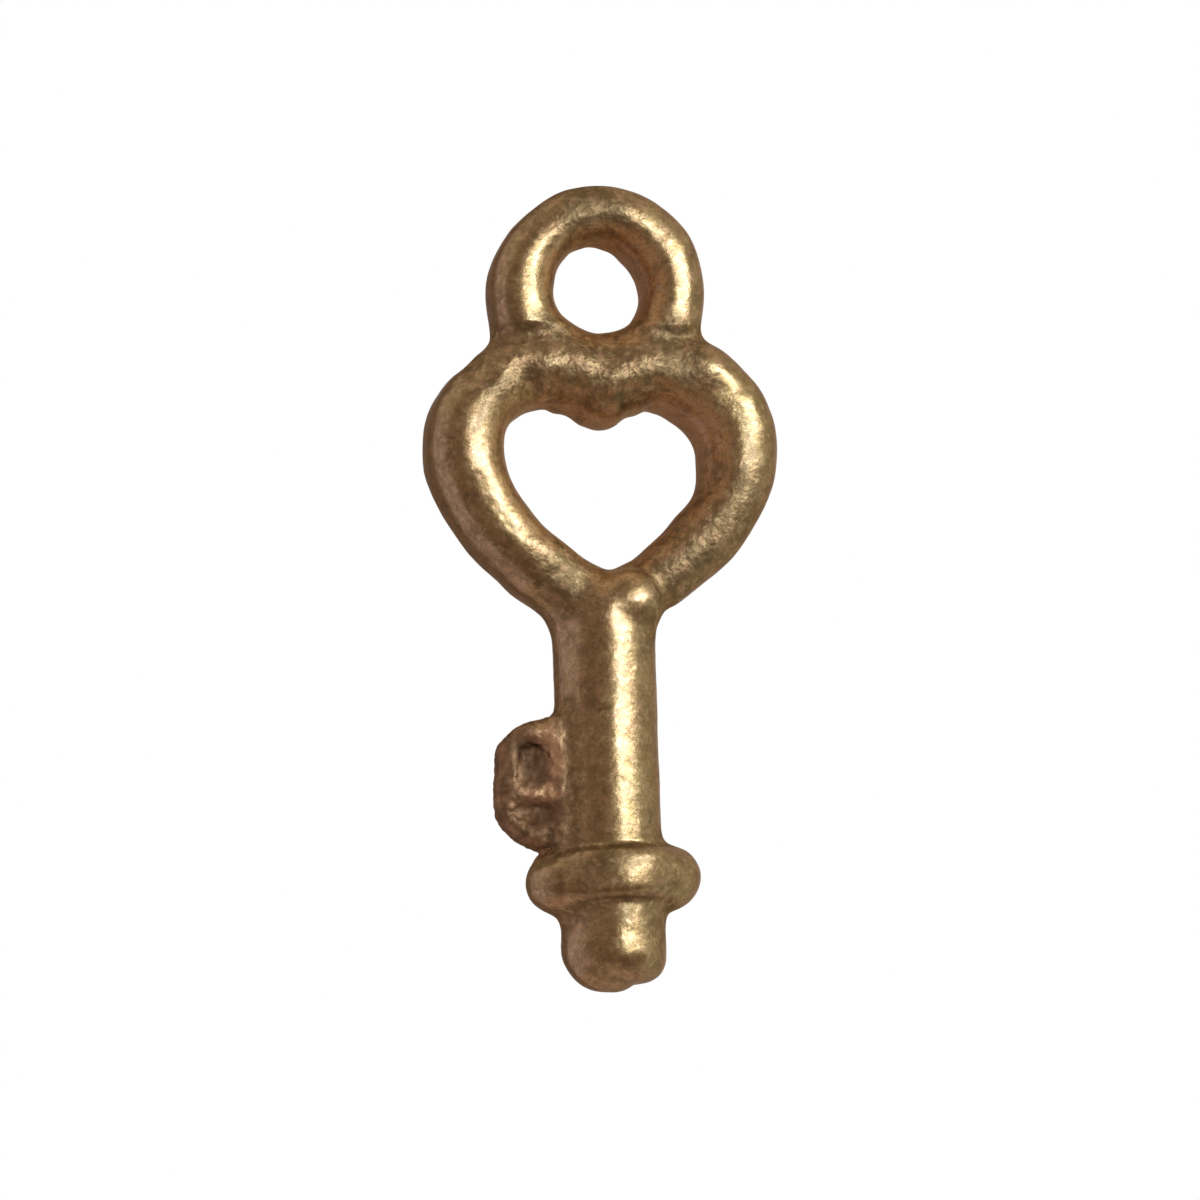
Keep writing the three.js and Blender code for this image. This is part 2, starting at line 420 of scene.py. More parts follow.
eye_width = 2 * (loop_circle + LOOP_WIDER - LOOP_HALF_WIDTH - LOOP_THICKER)
print(f"the rule of the loop leaves an eye {eye_width:.2f} mm wide")

# %% [markdown]
# ## The rod and the collar
#
# The rod is a turned shape, a rule of the distance from an upright axis. It has a domed head
# that sits in the fork of the heart, and a rounded end with the low stub of the gate, where the
# metal was let into the mould. The collar is a low band round the rod that stands out to a
# rounded ear on each side. Primitive cylinders could make both, but every small tilt and offset
# of the real ones is a term here, and the fillets come with the joining.
#
# The bead is a low drop of metal on the front of the fork. The photograph shows it there, and
# nothing shows one on the back.

# %% Write the rules for the rod, the collar and the bead
ROD_ASIDE = -0.045
ROD_SLIP = 0.05
ROD_SLIMMER = 0.008
HEAD_ROUNDING = 0.90
TIP_STRETCH = (12.6, 14.2)
TIP_ASIDE = 0.04
END_ROUNDING = 0.60
END_SLOPE = 0.09
STUB_LENGTH = 0.23
STUB_LEFT = 0.19
STUB_RADIUS = 0.92
STUB_ROUNDING = 0.86
STUB_ROOT = 1.0
STUB_FILLET = 0.12


def rounded_corner(across, along, rounding):
    """A corner between a side and an end, which are both zero on the surface."""
    side = across + rounding
    end = along + rounding
    outside = side.at_least(0.0).reach(end.at_least(0.0))
    return outside + side.at_least(end).at_most(0.0) - rounding


def rod_rule(size, x, y, z):
    """The round rod, with its domed head, its end and the low stub of the gate."""
    aside = ROD_ASIDE + (-z).share(*TIP_STRETCH) * TIP_ASIDE - y * ROD_SLIP
    side = (x - aside).reach(y) - size["Rod radius"] + ROD_SLIMMER
    head = rounded_corner(side, z - size["Head top"], HEAD_ROUNDING)
    end = rounded_corner(side, size["End height"] + STUB_LENGTH - x * END_SLOPE - z, END_ROUNDING)
    stub_side = (x + STUB_LEFT).reach(y) - STUB_RADIUS
    stub = rounded_corner(stub_side, size["End height"] - z, STUB_ROUNDING)
    root = z - size["End height"] - STUB_ROOT
    return head.at_least(end).joined(stub.at_least(root), STUB_FILLET)


BAND_RAISED = 0.08
BAND_TILT = 0.017
BAND_SLIP = 0.09
BAND_CURVE = 0.10
BAND_EDGE = 6.0
EAR_RAISED = 0.01
EAR_TILT = 0.030
EAR_SHORTER = 0.01
EAR_GROWTH = 0.010
EAR_ASIDE = 0.015
EAR_RADIUS = 1.0
EAR_FILLET = 0.35


def collar_rule(size, x, y, z):
    """A low band all round, and a higher ear on each side. The right ear is a little the taller."""
    up = z - size["Collar middle"] - BAND_RAISED - x * BAND_TILT
    band = (x + y * BAND_SLIP).reach(y) - size["Band reach"]
    band = band + up * up * BAND_CURVE + (up * up) ** 3.0 * BAND_EDGE
    up = z - size["Collar middle"] - EAR_RAISED - x * EAR_TILT
    half_height = size["Collar half height"] - EAR_SHORTER + x * EAR_GROWTH
    beyond = (abs(x - EAR_ASIDE) - (size["Collar reach"] - EAR_RADIUS)).at_least(0.0)
    ears = beyond.reach(y) - EAR_RADIUS
    ears = (ears + half_height).at_least(0.0).reach(up) - half_height
    return band.joined(ears, EAR_FILLET)


FORK_BEAD = (0.44, -0.70, -7.00)
FORK_BEAD_HALF_SIZE = (0.70, 0.47, 0.69)


def fork_bead_rule(x, y, z):
    """The low round bead of metal on the front of the fork: a ball pressed flat."""
    half_width, half_depth, half_height = FORK_BEAD_HALF_SIZE
    across = (x - FORK_BEAD[0]) / half_width
    up = (z - FORK_BEAD[2]) / half_height
    along = (y - FORK_BEAD[1]) / half_depth
    return (across.reach(up).reach(along) - 1) * half_depth


print(f"the rod is {2 * (rod_radius - ROD_SLIMMER):.2f} mm thick, with a stub {STUB_LENGTH} mm long")

# %% [markdown]
# ## The bit
#
# The bit is the key's tooth: a chamfered plate with soft corners and two hollows sunk in each
# face. A mesh with bevels could make it, but its bevels would stop where it meets the rod. Here
# it is cut by sloping planes, each with its own rounding. Its top slopes down to the left, its
# outer edge has a slight waist, and it gets thinner towards that edge.

# %% Write the rule for the bit
def chamfer(across, along, cut_across, cut_along):
    """A sloping cut over a corner, by its two sizes."""
    length = math.hypot(cut_across, cut_along)
    return ((across * cut_along) + (along + cut_along) * cut_across) * (1 / length)


HOLLOWS = (((1.76, -10.66), (0.34, 0.48)), ((1.74, -11.70), (0.42, 0.22)))
HOLLOW_DEPTH = 0.23
HOLLOW_SLOPE = 0.26
HOLLOW_CORNER = 0.50
HOLLOW_RIM = 0.44


def hollow(left, z, middle, half_size, floor):
    """A soft-edged hollow sunk in a face: its outline, and how deep it goes."""
    across = abs(left - middle[0]) - half_size[0]
    along = abs(z - middle[1]) - half_size[1]
    return across.within(along, HOLLOW_CORNER).within(floor, HOLLOW_RIM)


BIT_LONGER = 0.06
WAIST_HEIGHT = -10.65
WAIST_HALF_LENGTH = 0.45
WAIST_DEPTH = 0.05
TOP_SLOPE = 0.26
TOP_PIVOT = 1.60
TOP_CORNER = 0.40
TOP_CHAMFER = (0.60, 0.36)
BOTTOM_CORNER = 0.30
BOTTOM_CHAMFER = (0.76, 0.56)
CHAMFER_ROUNDING = 0.40
FACE_SLOPE = 0.20
FACE_LEVEL_TO = 1.30
FACE_ROUNDING = 0.62


def bit_rule(size, x, y, z):
    """The flat tooth on the left of the rod, with its two hollows in each face."""
    left = -x
    waist = (1 - ((z - WAIST_HEIGHT) / WAIST_HALF_LENGTH) ** 2.0).at_least(0.0) * WAIST_DEPTH
    side = left - size["Bit reach"] + waist - BIT_LONGER
    top = z - size["Bit top"] + (left - TOP_PIVOT) * TOP_SLOPE
    bottom = size["Bit bottom"] - z
    outline = side.within(top, TOP_CORNER).within(bottom, BOTTOM_CORNER)
    outline = outline.within(chamfer(side, top, *TOP_CHAMFER), CHAMFER_ROUNDING)
    outline = outline.within(chamfer(side, bottom, *BOTTOM_CHAMFER), CHAMFER_ROUNDING)
    face = abs(y) - size["Bit half thickness"] + (left - FACE_LEVEL_TO).at_least(0.0) * FACE_SLOPE
    plate = outline.within(face, FACE_ROUNDING)
    for middle, half_size in HOLLOWS:
        floor = -(face + HOLLOW_DEPTH + (z - middle[1]) * HOLLOW_SLOPE)
        plate = plate.within(-hollow(left, z, middle, half_size, floor), HOLLOW_RIM)
    return plate.at_least(-left)


print(f"the bit has {len(HOLLOWS)} hollows in each face, {HOLLOW_DEPTH} mm deep")

# %% [markdown]
# ## Swellings and dips
#
# The wax master of such a charm is finished by hand, so its outline stands a little proud in
# some places and low in others, and the highlights bend there. Sculpting could do the same, but
# it would not follow the sizes. Each row below is a soft round swelling instead: its middle in X
# and Z, its reach and its height, in millimetres. A dip has a height below zero. The rows were
# chosen one by one beside the photograph, and they run through from front to back.

# %% Place the swellings
SWELLINGS = (
    (3.65, -2.75, 1.10, 0.045),
    (2.50, -1.60, 0.90, 0.14),
    (3.20, -2.20, 0.80, 0.07),
    (0.45, 2.40, 0.70, 0.015),
    (1.20, 1.95, 0.90, 0.035),
    (2.00, 1.35, 0.90, 0.045),
    (-1.45, 1.80, 0.80, -0.03),
    (-2.30, 0.20, 1.20, 0.035),
    (-1.00, 0.20, 0.45, 0.025),
    (0.98, -0.35, 0.40, 0.025),
    (-0.45, 0.95, 0.60, -0.035),
    (-3.65, -2.80, 0.80, 0.03),
    (-2.80, -1.70, 0.60, -0.03),
    (-2.95, -1.95, 0.55, -0.07),
    (-1.45, -2.55, 0.60, -0.06),
    (-0.70, -2.80, 0.50, -0.025),
    (1.35, -2.60, 0.50, -0.04),
    (2.05, -3.30, 0.50, -0.01),
    (-1.90, -5.10, 0.60, 0.02),
    (-1.75, -2.28, 0.42, -0.06),
    (-1.15, -2.30, 0.42, -0.065),
    (-0.60, -2.46, 0.42, -0.065),
    (0.50, -2.46, 0.42, -0.065),
    (1.05, -2.34, 0.42, -0.065),
    (-0.05, -2.62, 0.38, -0.03),
    (-1.30, -1.70, 0.48, 0.03),
    (-0.60, -1.76, 0.48, 0.03),
    (0.05, -2.08, 0.42, 0.045),
    (0.05, -1.55, 0.42, -0.025),
    (0.80, -1.74, 0.48, 0.03),
    (0.15, -2.95, 0.45, 0.06),
    (-1.60, -5.90, 0.80, 0.06),
    (-0.95, -5.65, 0.60, 0.03),
    (-0.60, -5.85, 0.70, 0.06),
    (-1.90, -6.90, 0.70, 0.04),
    (-2.20, -0.85, 0.70, 0.05),
    (-2.00, -9.75, 0.50, 0.05),
    (1.30, -6.00, 0.70, 0.03),
    (0.10, -6.15, 0.35, -0.04),
    (-1.45, -7.40, 0.60, 0.03),
    (1.40, -7.20, 0.35, -0.04),
    (-2.60, -6.30, 0.80, -0.03),
    (2.30, -6.55, 0.90, -0.04),
    (-3.45, -5.20, 1.40, -0.08),
    (3.35, -5.30, 1.40, -0.05),
    (2.15, -4.40, 0.80, -0.10),
    (-2.10, -2.90, 0.70, -0.05),
    (-2.20, -12.35, 0.70, 0.04),
    (0.05, 1.00, 0.80, -0.07),
    (-0.55, 1.12, 0.38, -0.025),
    (0.00, 1.27, 0.40, -0.035),
    (0.50, 1.15, 0.38, -0.025),
    (0.10, -1.15, 0.95, -0.075),
    (-0.40, -1.00, 0.55, -0.03),
    (0.60, -0.95, 0.55, -0.03),
    (-1.70, -12.52, 0.30, 0.028),
    (0.85, -15.35, 0.50, 0.01),
    (0.25, -15.50, 0.45, 0.03),
    (-1.90, -2.15, 0.60, -0.09),
    (-1.00, -14.60, 0.80, 0.03),
)


def swelling_rule(x, z):
    """How far the wax master was left proud or low round a few places of the outline."""
    total = 0.0
    for middle_x, middle_z, reach, height in SWELLINGS:
        away = (x - middle_x).reach(z - middle_z) / reach
        total = (1 - away * away).at_least(0.0) ** 2.0 * height + total
    return total


dips = sum(height < 0 for *_, height in SWELLINGS)
print(f"{len(SWELLINGS) - dips} swellings and {dips} dips are placed")

# %% [markdown]
# ## Where the finish differs, and where light and shade are painted
#
# The charm was plated, toned dark and tumbled. Some places have kept the rough skin of the
# casting. Darker patches lie in the groove along the heart, on the crown and the feet of the
# loop, on the lower limbs of the heart, round the collar and in the hollows of the bit. They are
# partly toning that has stayed there, and partly painted shade where the lamp leaves a place dull.
# The rims of the bit are rubbed bare, and painted lighter as a highlight where the lamp catches
# them. An image texture would stretch round the limbs, so each of these is a list of soft round
# patches: a middle in X and Z, a reach in millimetres, and an amount. The rows were chosen one by
# one, as those above.
#
# Two more layers need no patches. The bit is tarnished all over, and the inner walls of the eye
# and of the heart, which see one another, are found by the way that the skin faces there. These
# walls are painted a bright warm brown, as painted bounce light from one wall to the other.

# %% Lay out the layers of the finish
CAST_SKIN = (
    (-0.35, 1.75, 1.30, 1.0),
    (-1.30, -1.95, 1.40, 0.8),
    (0.30, -1.90, 1.40, 0.9),
    (1.60, -1.70, 1.10, 0.8),
    (-2.40, -2.20, 0.90, 0.6),
    (2.60, -5.00, 1.50, 0.9),
    (1.50, -6.00, 1.20, 0.9),
    (-1.00, -6.20, 1.10, 0.7),
    (-1.20, -1.05, 0.55, 0.9),
    (1.75, -1.15, 0.60, 0.9),
)
# Darker patches: toning in places, and painted shade where the lamp leaves a place dull or a crease
# lies in shade.
TONING_AND_SHADE = (
    (-1.84, -10.38, 0.46, 0.75),
    (-1.78, -10.85, 0.40, 0.7),
    (-1.58, -11.78, 0.42, 0.7),
    (-2.10, -11.60, 0.30, 0.3),
    (-1.10, -11.10, 0.35, 0.6),
    (-1.10, -10.30, 0.30, 0.4),
    (-1.65, -2.14, 0.45, 0.9),
    (-1.00, -2.20, 0.45, 0.9),
    (-0.35, -2.40, 0.45, 0.9),
    (0.35, -2.30, 0.40, 0.8),
    (0.95, -2.14, 0.45, 0.9),
    (1.65, -2.06, 0.45, 0.8),
    (-1.10, -1.65, 0.70, 0.3),
    (-0.10, -1.75, 0.70, 0.3),
    (0.90, -1.65, 0.70, 0.3),
    (-1.20, -0.92, 0.50, 1.0),
    (1.50, -1.02, 0.55, 1.0),
    (0.10, -1.30, 0.60, 0.5),
    (-0.60, 1.12, 0.36, 0.8),
    (-0.10, 1.27, 0.38, 0.9),
    (0.42, 1.24, 0.36, 0.9),
    (-0.45, 1.70, 0.80, 1.0),
    (3.05, -4.00, 0.80, 0.40),
    (2.75, -4.80, 0.80, 0.70),
    (2.10, -5.60, 0.80, 0.85),
    (1.40, -6.20, 0.80, 0.80),
    (-1.00, -6.50, 0.85, 0.95),
    (-1.00, -12.78, 0.35, 0.5),
    (-0.40, -12.78, 0.35, 0.5),
    (0.20, -12.78, 0.35, 0.5),
    (-0.60, -13.88, 0.35, 0.5),
    (0.00, -13.88, 0.35, 0.5),
    (-2.35, -2.45, 0.70, 0.60),
    (-2.85, -3.10, 0.70, 0.30),
    (1.70, -1.55, 0.75, 1.0),
    (0.00, 1.72, 0.75, 1.0),
    (-0.55, -13.15, 0.60, 0.60),
    (0.80, -14.35, 0.50, 0.60),
    (-2.35, -11.85, 0.40, 0.30),
)
# Rubbed rims of the bit: bare metal, and a painted highlight where the lamp catches them.
RUBBED_AND_LIT = (
    (-1.50, -10.02, 0.42, 1.0),
    (-1.34, -10.35, 0.28, 1.0),
    (-1.28, -10.75, 0.26, 0.9),
    (-1.30, -11.15, 0.28, 0.9),
    (-1.58, -11.28, 0.28, 0.7),
    (-1.95, -11.30, 0.26, 0.35),
    (-2.40, -11.50, 0.32, 0.15),
    (-2.25, -11.90, 0.32, 0.2),
    (-2.20, -10.90, 0.25, 0.3),
)
PATCH_CORE = 0.45


def painted(x, z, patches):
    """How much soft round patches cover each place. A patch has a middle, a reach and an amount."""
    total = 0.0
    for middle_x, middle_z, reach, amount in patches:
        away = (x - middle_x).reach(z - middle_z)
        total = away.share(reach, reach * PATCH_CORE) * amount + total
    return total.at_most(1.0)


OPENING_RIM = 0.88
WALL_FACING = (0.20, 0.62)


def facing(normal, x, z, middle_z, reach):
    """How squarely the skin faces the middle of an opening, within its reach: 1 on its walls."""
    way = normal.bench.add("ShaderNodeCombineXYZ", None, {"X": -x, "Z": middle_z - z})
    middle_way = way.vector("NORMALIZE", way)
    squarely = normal.vector("DOT_PRODUCT", normal, middle_way).other("Value")
    near = x.reach(z - middle_z).share(reach, reach * OPENING_RIM)
    return squarely.share(*WALL_FACING) * near


def on_bit(x, z, left, top, bottom):
    """1 on the bit and 0 elsewhere, with a soft change over each of three stretches."""
    return (-x).share(*left) * (-z).share(*top) * (-z).share(*bottom)


CAST_SKIN_SHARE = 0.90
TARNISHED = ((0.95, 1.25), (9.4, 9.9), (12.80, 12.45))
EYE_OPENING = (0.0, 1.55)
HEART_OPENING = (-4.30, 3.20)
HEART_WALL_SHARE = 0.85


def painted_layers(normal, x, z):
    """The values that the metal's colour and roughness are made from, by name."""
    tarnish = on_bit(x, z, *TARNISHED)
    heart_walls = facing(normal, x, z, *HEART_OPENING) * HEART_WALL_SHARE
    # The toning patches also carry painted shade, and the rubbed ones carry a painted highlight.
    return {
        "cast_skin": painted(x, z, CAST_SKIN) * CAST_SKIN_SHARE,
        "toning_and_shade": painted(x, z, TONING_AND_SHADE),
        "rubbed_and_lit": painted(x, z, RUBBED_AND_LIT),
        "tarnish": tarnish,
        "inner_wall": heart_walls.at_least(facing(normal, x, z, *EYE_OPENING)),
    }


print(f"patches: {len(CAST_SKIN)} of cast skin, {len(TONING_AND_SHADE)} of patina, {len(RUBBED_AND_LIT)} rubbed")

# %% [markdown]
# ## Joining the rules
#
# The order of the joins sets the fillets: small ones at the collar, a wide one in the fork of
# the heart. Towards the front and the back each fillet gets tighter, as in the photograph. Last,
# noise moves the surface by a few hundredths of a millimetre: broad and small lumps all over,
# and beads on the rough bit alone. Cast and tumbled metal is never quite even, and that is what
# makes its highlights wander.

# %% Join the rules into one casting
def lump_rule(bench, place, scale, seed):
    """Soft lumps from -0.5 to 0.5, of a chosen fineness and a fixed seed."""
    moved = place.vector("ADD", place, (seed, 0.0, 0.0))
    values = {"Vector": moved, "Scale": scale, "Detail": 1.0, "Roughness": 0.5}
    return bench.add("ShaderNodeTexNoise", None, values) - 0.5


CREST = (0.35, 0.85)
SHOULDER_TIGHTER = 0.35
COLLAR_TIGHTER = 0.45
FORK_TIGHTER = 0.65
BEAD_FILLET = 0.16
ROUGH_BIT = ((1.10, 1.30), (9.0, 9.6), (12.75, 12.40))
BROAD_LUMPS = (1.1, 3.0)
BROAD_HEIGHT = 2.0
SMALL_LUMPS = (3.4, 11.0)
SMALL_HEIGHT = 0.7
SMALL_ON_BIT = 4.0
BEADS = (7.0, 5.0)
BEAD_HEIGHT = 2.4


def lumps_rule(bench, place, x, z):
    """The uneven surface of the casting, rougher on the bit."""
    broad = lump_rule(bench, place, *BROAD_LUMPS)
    small = lump_rule(bench, place, *SMALL_LUMPS)
    rough = on_bit(x, z, *ROUGH_BIT)
    small = small * (1 + rough * SMALL_ON_BIT)
    beads = lump_rule(bench, place, *BEADS) * rough
    return broad * BROAD_HEIGHT + small * SMALL_HEIGHT + beads * BEAD_HEIGHT


def casting_rule(bench, size, line):
    """The distance from any place to the skin of the whole casting, below zero inside it."""
    place = bench.add("GeometryNodeInputPosition")
    x, y, z = place.parts()
    crest = abs(y).share(*CREST)
    bow = loop_rule(size, x, y, z)
    limb = limb_rule(bench, size, line, x, y, z)
    bow = bow.joined(limb, size["Shoulder fillet"] * (1 - crest * SHOULDER_TIGHTER))
    stem = rod_rule(size, x, y, z)
    collar_fillet = size["Collar fillet"] * (1 - crest * COLLAR_TIGHTER)
    stem = stem.joined(collar_rule(size, x, y, z), collar_fillet)
    stem = stem.joined(bit_rule(size, x, y, z), size["Bit fillet"])
    whole = bow.joined(stem, size["Fork fillet"] * (1 - crest * FORK_TIGHTER))
    whole = whole.joined(fork_bead_rule(x, y, z), BEAD_FILLET)
    return whole + lumps_rule(bench, place, x, z) * size["Lumps"] - swelling_rule(x, z)


# %% [markdown]
# ## From the rule to a skin
#
# The block of space is a little larger than the charm. Each point of the raw skin is moved twice
# along its normal by the distance that the rule still gives there, which lands it on the true
# surface. The layers of the finish are stored on its points. Then the tree asks the rule a
# little way outside the skin: where a neighbouring limb is near, the place is sheltered. That
# number is kept for the colour too. It darkens the shallow creases, partly as toning and partly
# as painted shade, and gives the deep crevices painted bounce light.

# %% Grow the skin in a tree
VOXEL = 0.05
ROOM = 0.20
LANDINGS = 2
FEELER = 0.40
LAYERS = ("shelter", "cast_skin", "toning_and_shade", "rubbed_and_lit", "tarnish", "inner_wall")


def named_tree(name, sizes):
    """A tree with a line coming in, a skin going out, and one input for each size."""
    tree = bpy.data.node_groups.new(name, "GeometryNodeTree")
    tree.interface.new_socket("Line", in_out="INPUT", socket_type="NodeSocketGeometry")
    tree.interface.new_socket("Skin", in_out="OUTPUT", socket_type="NodeSocketGeometry")
    for label in sizes:
        tree.interface.new_socket(label, in_out="INPUT", socket_type="NodeSocketFloat")
    return tree


def keep(bench, skin, kind, name, value):
    """Stores a value on the points of the skin, under a name."""
    settings = {"data_type": kind, "domain": "POINT"}
    values = {"Geometry": skin, "Name": name, "Value": value}
    return bench.add("GeometryNodeStoreNamedAttribute", settings, values)


def raw_skin(bench, rule):
    """The skin where the rule is zero, drawn in small cells of space."""
    low, high = (np.array(corner) / MM for corner in cad_box)
    low = low - ROOM
    high = high + ROOM
    counts = [int(math.ceil(reach / VOXEL)) for reach in high - low]
    block = {"Density": -rule, "Background": -1.0, "Min": tuple(low), "Max": tuple(high)}
    block.update(zip(("Resolution X", "Resolution Y", "Resolution Z"), counts))
    volume = bench.add("GeometryNodeVolumeCube", None, block)
    return bench.add("GeometryNodeVolumeToMesh", None, {"Volume": volume, "Threshold": 0.0})


def shifted(bench, skin, way):
    """The skin with each of its points moved by a vector."""
    return bench.add("GeometryNodeSetPosition", None, {"Geometry": skin, "Offset": way})


def casting_tree(material):
    """The tree that turns the centre line and the sizes into the finished skin."""
    tree = named_tree("casting", SIZES)
    bench = Bench(tree)
    line = bench.add("NodeGroupInput", None, None, "Line")
    size = {label: line.other(label) for label in SIZES}
    rule = casting_rule(bench, size, line)
    skin = raw_skin(bench, rule)
    normal = bench.add("GeometryNodeInputNormal")
    for _ in range(LANDINGS):
        skin = shifted(bench, skin, normal.scaled(-rule))

    place = bench.add("GeometryNodeInputPosition")
    skin = keep(bench, skin, "FLOAT_VECTOR", "rest_place", place)
    skin = keep(bench, skin, "FLOAT_VECTOR", "skin_normal", normal)
    x, _, z = place.parts()
    for name, value in painted_layers(normal, x, z).items():
        skin = keep(bench, skin, "FLOAT", name, value)

    skin = shifted(bench, skin, normal.scaled(FEELER))
    shelter = (1 - rule / FEELER).at_least(0.0).at_most(1.0)
    skin = keep(bench, skin, "FLOAT", "shelter", shelter)
    vector = {"data_type": "FLOAT_VECTOR"}
    home = bench.add("GeometryNodeInputNamedAttribute", vector, {"Name": "rest_place"})
    values = {"Geometry": skin, "Position": home.scaled(MM)}
    skin = bench.add("GeometryNodeSetPosition", None, values)

    skin = bench.add("GeometryNodeSetShadeSmooth", None, {"Geometry": skin, "Shade Smooth": True})
    skin = bench.add("GeometryNodeRealizeInstances", None, {"Geometry": skin})
    skin = bench.add("GeometryNodeSetMaterial", None, {"Geometry": skin, "Material": material})
    bench.add("NodeGroupOutput", None, {"Skin": skin})
    return tree


def grown(source, tree, sizes, name):
    """The plain mesh that a tree makes of an object."""
    modifier = source.modifiers.new("grow", "NODES")
    modifier.node_group = tree
    for item in tree.interface.items_tree:
        if item.in_out == "INPUT" and item.name in sizes:
            modifier[item.identifier] = float(sizes[item.name])
    ready = source.evaluated_get(bpy.context.evaluated_depsgraph_get())
    mesh = bpy.data.meshes.new_from_object(ready)
    mesh.name = name
    source.modifiers.remove(modifier)
    return mesh


print(f"the skin will be drawn in cells of {VOXEL} mm and moved {LANDINGS} times")

# %% [markdown]
# ## Satin antique gold
#
# The real finish is a thin gold-coloured plating, toned down and tumbled. Seen close, it is
# olive gold on the open curves, rosier where the casting kept its rough skin, and covered in a
# fine grain like fine sandpaper, which spreads the highlights. Some of the colour is painted
# light: the shallow creases are browner, partly toning and partly painted shade, the deep
# crevices and the inner walls are a bright warm brown as painted bounce light, and the rims of
# the bit are lighter, rubbed bare and painted as a highlight. One material does all of it from
# the charm's own coordinates, so the pattern runs on without a break from region to region. The
# layers that are stored on the skin say where each colour belongs.
#
# Each colour is laid over the last one: first the ground, then the rough skin, the painted
# bounce light, and the toning with its painted shade, and last the flecks and specks. A row of
# specks names a pattern, the two values of the pattern between which the specks come up, their
# strength and their colour. The bit has a list of its own, because it is duller and rougher. A
# pattern is its grains per millimetre and its detail.

# %% Name the colours and the patterns
OLIVE_GOLD = (0.246, 0.160, 0.066, 1)
WARM_GOLD = (0.250, 0.152, 0.070, 1)
ROSY_SKIN = (0.235, 0.135, 0.075, 1)
BROKEN_SKIN = (0.125, 0.080, 0.038, 1)
# Bright warm brown: painted bounce light on the inner walls and in deep crevices.
PAINTED_BOUNCE_BROWN = (0.460, 0.246, 0.099, 1)
# Dark brown for toning and painted shade.
TONING_AND_SHADE_BROWN = (0.130, 0.088, 0.042, 1)
DULL_DARK = (0.112, 0.066, 0.036, 1)
DULL_BROWN = (0.180, 0.098, 0.054, 1)
# Lighter metal of the bit's rims: rubbed bare, and a painted highlight.
BARE_AND_LIT_METAL = (0.52, 0.310, 0.170, 1)
PIT_BROWN = (0.084, 0.045, 0.027, 1)
EDGE_TINT = (0.80, 0.68, 0.56, 1)

PATTERNS = {
    "grain": (7.0, 1.5),
    "fine": (15.0, 2.0),
    "mottle": (2.8, 3.0),
    "blotch": (4.5, 1.0),
    "cloud": (1.2, 2.0),
}
SPECKS = (
    ("mottle", 0.50, 0.68, 0.50, (0.36, 0.24, 0.125, 1)),
    ("mottle", 0.50, 0.32, 0.60, (0.120, 0.076, 0.036, 1)),
    ("blotch", 0.55, 0.70, 0.50, (0.36, 0.205, 0.120, 1)),
    ("grain", 0.52, 0.72, 0.60, (0.40, 0.29, 0.15, 1)),
    ("fine", 0.48, 0.72, 0.55, (0.115, 0.074, 0.036, 1)),
)
BIT_SPECKS = (
    ("blotch", 0.44, 0.60, 0.30, (0.36, 0.200, 0.112, 1)),
    ("grain", 0.50, 0.66, 0.15, (0.46, 0.280, 0.160, 1)),
)
print(f"{len(PATTERNS)} patterns and {len(SPECKS) + len(BIT_SPECKS)} kinds of specks")

# %% Mix the colours
SKIN_SHARE = 0.6
BROKEN_SHARE = 0.55
VALLEY_SHARE = 0.74
RUBBED_AND_LIT_SPECKS = 0.6
RUBBED_AND_LIT_SHARE = 0.62
PIT_SHARE = 0.80


def clean_bench(look):
    """A bench for the emptied node tree of a material or a world."""
    look.use_nodes = True
    look.node_tree.nodes.clear()
    return Bench(look.node_tree)


def colour_mix(bench, share, first, second):
    """A blend of two colours."""
    values = {0: share, 6: first, 7: second}
    return bench.add("ShaderNodeMix", {"data_type": "RGBA"}, values, 2)


def noise(bench, place, scale, detail):
    """Soft noise from 0 to 1, by its grains per millimetre."""
    values = {"Vector": place, "Scale": scale, "Detail": detail, "Roughness": 0.55}
    return bench.add("ShaderNodeTexNoise", None, values)


def satin_colour(bench, pattern, layer, painted_bounce, valley):
    """The gold of the loop, the heart and the rod, with painted bounce light and painted shade."""
    colour = colour_mix(bench, pattern["cloud"].share(0.35, 0.65), OLIVE_GOLD, WARM_GOLD)
    colour = colour_mix(bench, layer["cast_skin"] * SKIN_SHARE, colour, ROSY_SKIN)
    # Painted bounce light on the inner walls and in deep crevices.
    colour = colour_mix(bench, painted_bounce, colour, PAINTED_BOUNCE_BROWN)
    # Shallow creases and the darker patches: toning and painted shade.
    colour = colour_mix(bench, valley * (1 - painted_bounce) * VALLEY_SHARE, colour, TONING_AND_SHADE_BROWN)
    for name, start, end, amount, speck in SPECKS:
        colour = colour_mix(bench, pattern[name].share(start, end) * amount, colour, speck)
    broken = layer["cast_skin"] * pattern["blotch"].share(0.52, 0.42) * BROKEN_SHARE
    return colour_mix(bench, broken, colour, BROKEN_SKIN)


def bit_colour(bench, pattern, layer):
    """The dull brown of the bit, lighter on its rims as wear and painted highlight, and its dark pits.
    """
    rubbed_and_lit = layer["rubbed_and_lit"]
    colour = colour_mix(bench, pattern["mottle"].share(0.40, 0.62), DULL_DARK, DULL_BROWN)
    for name, start, end, amount, speck in BIT_SPECKS:
        cover = pattern[name].share(start, end) * (amount + rubbed_and_lit * RUBBED_AND_LIT_SPECKS)
        colour = colour_mix(bench, cover, colour, speck)
    # Rubbed rims of the bit: bare metal and a painted highlight.
    colour = colour_mix(bench, rubbed_and_lit * RUBBED_AND_LIT_SHARE, colour, BARE_AND_LIT_METAL)
    # The dark pits of the bit: toning and painted shade.
    return colour_mix(bench, layer["toning_and_shade"] * PIT_SHARE, colour, PIT_BROWN)


